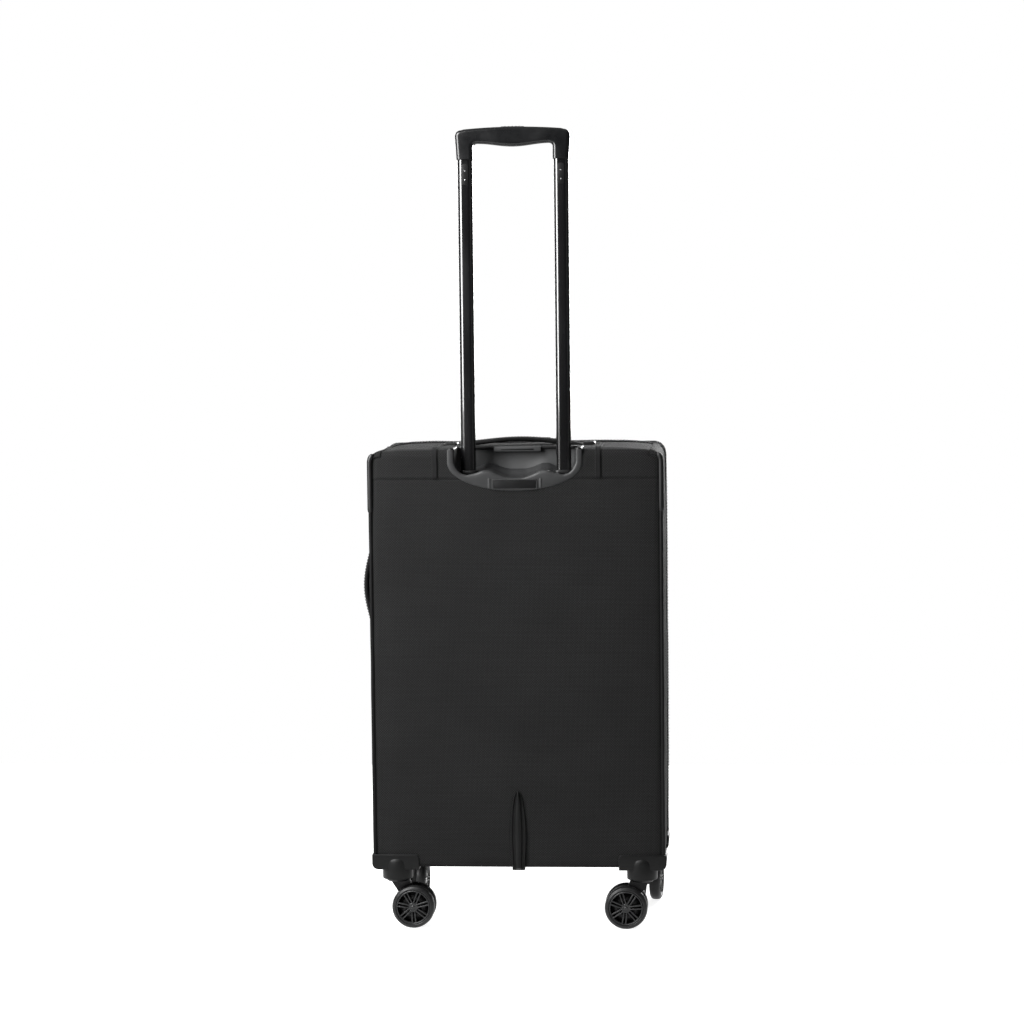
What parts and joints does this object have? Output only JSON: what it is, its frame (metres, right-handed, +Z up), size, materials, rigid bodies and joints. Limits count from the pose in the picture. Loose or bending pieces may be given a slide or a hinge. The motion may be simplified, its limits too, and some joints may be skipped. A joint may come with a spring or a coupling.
{
  "type": "softside upright suitcase",
  "caption": "Upright fabric suitcase on swivelling twin-wheel casters, with a telescoping trolley handle, carry handles and a zipped front lid with pockets.",
  "frame": {"origin": "middle of the whole object's box, on the floor under the wheels", "axes": "+Z up; the plain back panel with the trolley handle faces -Y and the pocketed lid faces +Y; +X is to the right when facing the back panel"},
  "size_m": [0.4294, 0.2788, 1.1148],
  "materials": {
    "shell_fabric": "black-grey woven polyester with a fine raised grain",
    "piping": "satin moulded piping",
    "webbing": "padded black webbing",
    "trim_plastic": "dark grey fine-textured moulding",
    "grip_plastic": "satin black moulding",
    "pole_metal": "glossy black anodised",
    "sleeve_metal": "plain extruded",
    "zip_tape": "woven tape with a nylon coil",
    "zip_metal": "gunmetal",
    "hub_plastic": "grey satin moulding",
    "tyre": "grey matt"
  },
  "bodies": {
    "case": {"back_panel": "shell_fabric", "side_panel_left": "shell_fabric", "side_panel_right": "shell_fabric", "top_panel": "shell_fabric", "bottom_panel": "shell_fabric", "rear_piping_left": "piping", "rear_piping_right": "piping", "corner_guard_left": "piping", "corner_guard_right": "piping", "skid_rail": "trim_plastic", "recess_cup": "trim_plastic", "outer_tube_left": "sleeve_metal", "outer_tube_right": "sleeve_metal", "top_handle_cap_left": "trim_plastic", "top_handle_cap_right": "trim_plastic", "side_handle_cap_upper": "trim_plastic", "side_handle_cap_lower": "trim_plastic", "main_zip_tray": "zip_tape", "caster_housing_rear_left": "trim_plastic", "caster_housing_rear_right": "trim_plastic", "caster_housing_front_left": "trim_plastic", "caster_housing_front_right": "trim_plastic"},
    "trolley": {"inner_tube_left": "pole_metal", "inner_tube_right": "pole_metal", "grip": "grip_plastic"},
    "button": {"release_button": "trim_plastic"},
    "top_strap": {"top_handle": "webbing"},
    "side_strap": {"side_handle": "webbing"},
    "lid": {"front_panel": "shell_fabric", "lid_gusset": "shell_fabric", "main_zip_lid": "zip_tape", "front_piping": "piping", "pocket_upper": "shell_fabric", "pocket_lower": "shell_fabric"},
    "slider_left": {"zip_slider_left": "zip_metal"},
    "slider_right": {"zip_slider_right": "zip_metal"},
    "puller_left": {"zip_puller_left": "zip_metal"},
    "puller_right": {"zip_puller_right": "zip_metal"},
    "pocket_slider_u": {"pocket_slider_upper": "zip_metal"},
    "pocket_slider_l": {"pocket_slider_lower": "zip_metal"},
    "caster_rear_left": {"caster_fork_rear_left": "trim_plastic"},
    "wheel_rear_left_a": {"wheel_hub_rear_left_a": "hub_plastic", "wheel_tyre_rear_left_a": "tyre"},
    "wheel_rear_left_b": {"wheel_hub_rear_left_b": "hub_plastic", "wheel_tyre_rear_left_b": "tyre"},
    "caster_rear_right": {"caster_fork_rear_right": "trim_plastic"},
    "wheel_rear_right_a": {"wheel_hub_rear_right_a": "hub_plastic", "wheel_tyre_rear_right_a": "tyre"},
    "wheel_rear_right_b": {"wheel_hub_rear_right_b": "hub_plastic", "wheel_tyre_rear_right_b": "tyre"},
    "caster_front_left": {"caster_fork_front_left": "trim_plastic"},
    "wheel_front_left_a": {"wheel_hub_front_left_a": "hub_plastic", "wheel_tyre_front_left_a": "tyre"},
    "wheel_front_left_b": {"wheel_hub_front_left_b": "hub_plastic", "wheel_tyre_front_left_b": "tyre"},
    "caster_front_right": {"caster_fork_front_right": "trim_plastic"},
    "wheel_front_right_a": {"wheel_hub_front_right_a": "hub_plastic", "wheel_tyre_front_right_a": "tyre"},
    "wheel_front_right_b": {"wheel_hub_front_right_b": "hub_plastic", "wheel_tyre_front_right_b": "tyre"}
  },
  "joints": [
    {"name": "trolley_slide", "type": "slide", "parent": "case", "child": "trolley", "axis": [0, 0, 1], "range_m": [-0.425, 0]},
    {"name": "button_press", "type": "slide", "parent": "trolley", "child": "button", "axis": [0, 0, -1], "range_m": [0, 0.003], "stiffness_N_per_m": 400},
    {"name": "top_strap_lift", "type": "slide", "parent": "case", "child": "top_strap", "axis": [0, 0, 1], "range_m": [0, 0.012]},
    {"name": "side_strap_pull", "type": "slide", "parent": "case", "child": "side_strap", "axis": [-1, 0, 0], "range_m": [0, 0.01], "stiffness_N_per_m": 150},
    {"name": "lid_hinge", "type": "hinge", "parent": "case", "child": "lid", "pos_m": [0.21435, 0.08705, 0.3785], "axis": [0, 0, -1], "range_deg": [0, 170]},
    {"name": "slider_left_run", "type": "slide", "parent": "case", "child": "slider_left", "axis": [-1, 0, 0], "range_m": [0, 0.155]},
    {"name": "puller_left_swing", "type": "hinge", "parent": "slider_left", "child": "puller_left", "pos_m": [0.00225, 0.08705, 0.6757], "axis": [0, 1, 0], "range_deg": [0, 90]},
    {"name": "slider_right_run", "type": "slide", "parent": "case", "child": "slider_right", "axis": [1, 0, 0], "range_m": [0, 0.155]},
    {"name": "puller_right_swing", "type": "hinge", "parent": "slider_right", "child": "puller_right", "pos_m": [0.01545, 0.08705, 0.6757], "axis": [0, -1, 0], "range_deg": [0, 90]},
    {"name": "pocket_slider_u_run", "type": "slide", "parent": "lid", "child": "pocket_slider_u", "axis": [1, 0, 0], "range_m": [0, 0.27]},
    {"name": "pocket_slider_l_run", "type": "slide", "parent": "lid", "child": "pocket_slider_l", "axis": [1, 0, 0], "range_m": [0, 0.27]},
    {"name": "swivel_rear_left", "type": "hinge", "parent": "case", "child": "caster_rear_left", "pos_m": [-0.16265, -0.113, 0.06], "axis": [0, 0, 1], "continuous": true},
    {"name": "roll_rear_left_a", "type": "hinge", "parent": "caster_rear_left", "child": "wheel_rear_left_a", "pos_m": [-0.14015, -0.113, 0.02974], "axis": [0, 1, 0], "continuous": true},
    {"name": "roll_rear_left_b", "type": "hinge", "parent": "caster_rear_left", "child": "wheel_rear_left_b", "pos_m": [-0.14015, -0.113, 0.02974], "axis": [0, 1, 0], "continuous": true},
    {"name": "swivel_rear_right", "type": "hinge", "parent": "case", "child": "caster_rear_right", "pos_m": [0.18035, -0.113, 0.06], "axis": [0, 0, 1], "continuous": true},
    {"name": "roll_rear_right_a", "type": "hinge", "parent": "caster_rear_right", "child": "wheel_rear_right_a", "pos_m": [0.15785, -0.113, 0.02974], "axis": [0, -1, 0], "continuous": true},
    {"name": "roll_rear_right_b", "type": "hinge", "parent": "caster_rear_right", "child": "wheel_rear_right_b", "pos_m": [0.15785, -0.113, 0.02974], "axis": [0, -1, 0], "continuous": true},
    {"name": "swivel_front_left", "type": "hinge", "parent": "case", "child": "caster_front_left", "pos_m": [-0.16265, 0.056, 0.06], "axis": [0, 0, 1], "continuous": true},
    {"name": "roll_front_left_a", "type": "hinge", "parent": "caster_front_left", "child": "wheel_front_left_a", "pos_m": [-0.16187, 0.07849, 0.02974], "axis": [-0.9994, 0.0349, 0], "continuous": true},
    {"name": "roll_front_left_b", "type": "hinge", "parent": "caster_front_left", "child": "wheel_front_left_b", "pos_m": [-0.16187, 0.07849, 0.02974], "axis": [-0.9994, 0.0349, 0], "continuous": true},
    {"name": "swivel_front_right", "type": "hinge", "parent": "case", "child": "caster_front_right", "pos_m": [0.18035, 0.056, 0.06], "axis": [0, 0, 1], "continuous": true},
    {"name": "roll_front_right_a", "type": "hinge", "parent": "caster_front_right", "child": "wheel_front_right_a", "pos_m": [0.1827, 0.07838, 0.02974], "axis": [-0.9945, 0.1045, 0], "continuous": true},
    {"name": "roll_front_right_b", "type": "hinge", "parent": "caster_front_right", "child": "wheel_front_right_b", "pos_m": [0.1827, 0.07838, 0.02974], "axis": [-0.9945, 0.1045, 0], "continuous": true}
  ]
}
